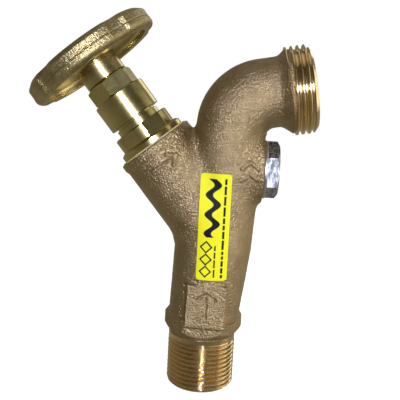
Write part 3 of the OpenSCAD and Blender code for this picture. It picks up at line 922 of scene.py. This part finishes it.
def plain_finish(name, dark, light, rough, metallic, grain_scale, bump_mm):
    """Even finish with a fine grain, for seals, films and small fasteners."""
    n = Nodes(name)
    grain = n.noise(grain_scale, 4, 0.6)
    base = n.ramp(grain, [(0.35, dark), (0.65, light)])
    n.set(Base_Color=base, Metallic=metallic, Roughness=n.spread(grain, 0.3, 0.7, rough * 0.85, rough * 1.15),
          Normal=n.bump(grain, bump_mm * MM))
    return n.material


def label_finish():
    """Glossy yellow film with black printed shapes."""
    n = Nodes("yellow_film")
    edge = n.add("ShaderNodeAttribute", attribute_name="ink_edge", attribute_type="GEOMETRY").outputs["Fac"]
    marks = n.spread(edge, -0.04, 0.04, 1.0, 0.0)
    sheen = n.noise(300, 2, 0.5)
    yellow = n.ramp(sheen, [(0.3, (0.86, 0.80, 0.012)), (0.7, (0.90, 0.84, 0.02))])
    base = n.mix(marks, yellow, (0.008, 0.008, 0.012))
    n.set(Base_Color=base, Roughness=n.spread(sheen, 0.3, 0.7, 0.50, 0.60), Specular_IOR_Level=0.12,
          Normal=n.bump(sheen, 0.015 * MM))
    return n.material


BRONZE = cast_bronze("cast_bronze", (0.36, 0.26, 0.125), (0.46, 0.335, 0.17), (0.48, 0.36, 0.20),
                     0.30, 0.46, 0.56)
WHEEL_BRONZE = cast_bronze("cast_bronze_wheel", (0.32, 0.25, 0.11), (0.45, 0.36, 0.17), (0.46, 0.375, 0.18),
                           0.36, 0.48, 0.22)
BODY_MACHINED_IN = turned_metal("inlet_machined", (0.72, 0.54, 0.29), (0.80, 0.61, 0.34), 0.16,
                                (0, 0, 0), (0, 0, 1), 0.0002)
BODY_MACHINED_OUT = turned_metal("outlet_machined", (0.70, 0.54, 0.29), (0.80, 0.63, 0.35), 0.16,
                                 OUTLET_END, OUTLET_AXIS, 0.0002)
TURNED = turned_metal("turned_brass", (0.50, 0.41, 0.16), (0.60, 0.50, 0.21), 0.21,
                      BONNET_POINT, BONNET_AXIS, 0.003)
TURNED_WHEEL = turned_metal("turned_brass_wheel", (0.50, 0.41, 0.18), (0.62, 0.51, 0.24), 0.24,
                            BONNET_POINT, BONNET_AXIS, 0.003)
NICKEL = worn_nickel()
SEAL = plain_finish("seal_metal", (0.46, 0.44, 0.38), (0.58, 0.56, 0.50), 0.38, 1.0, 700, 0.02)
ZINC = plain_finish("zinc_steel", (0.50, 0.50, 0.47), (0.66, 0.65, 0.60), 0.32, 1.0, 900, 0.01)
FIBRE = plain_finish("fibre_gasket", (0.55, 0.45, 0.16), (0.72, 0.62, 0.28), 0.7, 0.0, 1400, 0.03)
PACKING = plain_finish("ptfe_packing", (0.72, 0.71, 0.66), (0.86, 0.85, 0.81), 0.5, 0.0, 900, 0.05)
RUBBER = plain_finish("seat_rubber", (0.015, 0.015, 0.015), (0.035, 0.035, 0.035), 0.6, 0.0, 1100, 0.02)


# ---------------------------------------------------------------- pieces

def add_piece(obj, body, slot, *nodes):
    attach(obj, body)
    if nodes:
        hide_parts(*nodes)
    return obj


def dress(node, material):
    """Gives a carried CAD node a finish."""
    mesh = frame["nodes"][node].data
    mesh.materials.clear()
    mesh.materials.append(material)


add_piece(casting([BRONZE]), "valve", "cast_body", "valve_body")
INLET_PLACING = ((0, 0, 0), Z_AXIS, X_AXIS)
OUTLET_PLACING = (OUTLET_END, -OUTLET_AXIS, unit([-OUTLET_AXIS[2], 0, OUTLET_AXIS[0]]))
add_piece(thread_skin("valve_body_inlet_thread", (INLET_R, INLET_PITCH), INLET_THREAD_TOP,
                      INLET_RIDGE_END, 1.5, INLET_PLACING, BODY_MACHINED_IN), "valve", "cast_body")
add_piece(thread_skin("valve_body_outlet_thread", (OUTLET_R, OUTLET_PITCH), OUTLET_THREAD_LEN,
                      OUTLET_RIDGE_END, 1.6, OUTLET_PLACING, BODY_MACHINED_OUT), "valve", "cast_body")
add_piece(bonnet_piece(TURNED), "valve", "turned_brass", "bonnet")
add_piece(gland_piece(TURNED), "valve", "turned_brass", "gland_nut")
add_piece(handwheel_piece(WHEEL_BRONZE, TURNED_WHEEL), "stem", "cast_wheel", "handwheel")
add_piece(wheel_nut_piece(ZINC), "stem", "zinc_fastener", "handwheel_nut")
add_piece(wheel_washer_piece(ZINC), "stem", "zinc_fastener", "handwheel_washer")
add_piece(plug_piece(NICKEL), "valve", "nickel_plug", "drain_plug")
add_piece(plug_seal_piece(SEAL), "valve", "seal_ring", "drain_plug_seal")
add_piece(label_piece([label_finish()]), "valve", "yellow_label", "body_label")

for brass_node in ("seat_ring", "gland_follower", "spindle", "disc_carrier", "disc_retaining_ring",
                   "seat_washer_retainer", "seat_washer_nut"):
    dress(brass_node, TURNED)
for packing_node in ("packing_ring_lower", "packing_ring_upper"):
    dress(packing_node, PACKING)
dress("bonnet_gasket", FIBRE)
dress("seat_washer", RUBBER)


# ---------------------------------------------------------------- stage, light and camera

def stage():
    """Pale floor that curves up into a round wall and a dome; it shows, but isn't reflected."""
    floor_z = BODY_LOW * MM
    wall_r, corner_r, wall_high = 2.6, 0.9, 2.2
    profile = [(0.02, 0.0), (0.3, 0.0), (wall_r - corner_r, 0.0)]
    profile += [(wall_r - corner_r + corner_r * math.sin(a), corner_r - corner_r * math.cos(a))
                for a in np.radians(np.linspace(8, 90, 11))]
    profile += [(wall_r * math.cos(a), wall_high + wall_r * math.sin(a))
                for a in np.radians(np.linspace(0, 89, 13))]
    sides = 64
    verts, faces = ring_stack(profile, sides, closed=False)
    centre = len(verts)
    verts = np.concatenate([verts, [[0, 0, 0]]]) + np.array([0, 0, floor_z])
    cap = [(centre, (k + 1) % sides, k) for k in range(sides)]
    mesh = bpy.data.meshes.new("studio_bowl")
    mesh.from_pydata(verts.tolist(), [], [tuple(f) for f in faces.tolist()] + cap)
    mesh.update()
    for polygon in mesh.polygons:
        polygon.use_smooth = True
    obj = bpy.data.objects.new("studio_bowl", mesh)
    bpy.context.scene.collection.objects.link(obj)
    obj.visible_glossy = False
    obj.visible_diffuse = False
    obj.visible_shadow = False
    n = Nodes("studio_paper")
    fibres = n.noise(900, 3, 0.6)
    n.set(Base_Color=n.ramp(fibres, [(0.3, (0.40, 0.40, 0.40)), (0.7, (0.42, 0.42, 0.42))]), Roughness=0.95,
          Specular_IOR_Level=0.0, Emission_Color=(1, 1, 1), Emission_Strength=FLOOR_GLOW)
    mesh.materials.append(n.material)


def soft_box(name, place_m, target_m, width, height, radiance, colour=(1, 1, 1)):
    """Rectangular light of a given brightness, unseen by the camera."""
    data = bpy.data.lights.new(name, "AREA")
    data.energy = radiance * math.pi * width * height
    data.color = colour
    data.shape = "RECTANGLE"
    data.size = width
    data.size_y = height
    obj = bpy.data.objects.new(name, data)
    obj.location = place_m
    obj.rotation_euler = (Vector(target_m) - Vector(place_m)).to_track_quat("-Z", "Y").to_euler()
    obj.visible_camera = False
    bpy.context.scene.collection.objects.link(obj)
    return obj


def lights():
    """A dim warm room, a strobe near the camera and soft boxes at the right, above and behind."""
    world = bpy.data.worlds.new("studio")
    bpy.context.scene.world = world
    world.use_nodes = True
    tree = world.node_tree
    background = tree.nodes["Background"]
    coords = tree.nodes.new("ShaderNodeTexCoord")
    split = tree.nodes.new("ShaderNodeSeparateXYZ")
    tree.links.new(coords.outputs["Generated"], split.inputs[0])
    shade = tree.nodes.new("ShaderNodeMapRange")
    shade.inputs["From Min"].default_value = -1.4
    shade.inputs["From Max"].default_value = 1.4
    shade.inputs["To Min"].default_value = 0.07
    shade.inputs["To Max"].default_value = 0.31
    tilt = tree.nodes.new("ShaderNodeMath")
    tilt.operation = "SUBTRACT"
    tree.links.new(split.outputs[1], tilt.inputs[0])
    tree.links.new(split.outputs[2], tilt.inputs[1])
    tree.links.new(tilt.outputs[0], shade.inputs["Value"])
    tree.links.new(shade.outputs[0], background.inputs[1])
    background.inputs[0].default_value = (1.0, 0.94, 0.74, 1)
    centre = (0, 0, 0.08)
    soft_box("front_strobe", (0.13, -0.80, 0.22), centre, 0.10, 0.10, 195, (0.94, 1.0, 1.30))
    soft_box("low_right", (0.62, -0.52, 0.02), centre, 0.6, 0.4, 0.62, (1, 0.98, 0.93))
    soft_box("right_wall", (0.95, 0.10, 0.25), centre, 0.8, 1.2, 1.3, (1, 0.98, 0.93))
    soft_box("top_soft", (-0.1, 0.1, 1.0), centre, 0.7, 0.7, 0.5)
    soft_box("back_soft", (0.45, 0.9, 0.6), centre, 0.4, 0.4, 1.4)


def camera():
    """Camera at the viewing angle of a close product picture, a quarter of a metre in front."""
    data = bpy.data.cameras.new("camera")
    data.sensor_width = 36
    data.lens = 61.27
    data.clip_start = 0.01
    data.clip_end = 20
    obj = bpy.data.objects.new("camera", data)
    tilt, roll, turn = (math.radians(a) for a in (9.618, 2.047, 2.958))
    base = Matrix(((1, 0, 0), (0, 0, -1), (0, 1, 0)))
    rotation = Matrix.Rotation(turn, 3, "Z") @ Matrix.Rotation(tilt, 3, "X") @ Matrix.Rotation(roll, 3, "Y")
    right, down, forward = rotation @ base
    columns = Matrix((right, -down, -forward)).transposed()
    obj.matrix_world = Matrix.Translation(Vector((5.93, -260.49, 118.21)) * MM) @ columns.to_4x4()
    bpy.context.scene.collection.objects.link(obj)
    bpy.context.scene.camera = obj


stage()
lights()
camera()
bpy.context.scene.view_settings.view_transform = "Standard"
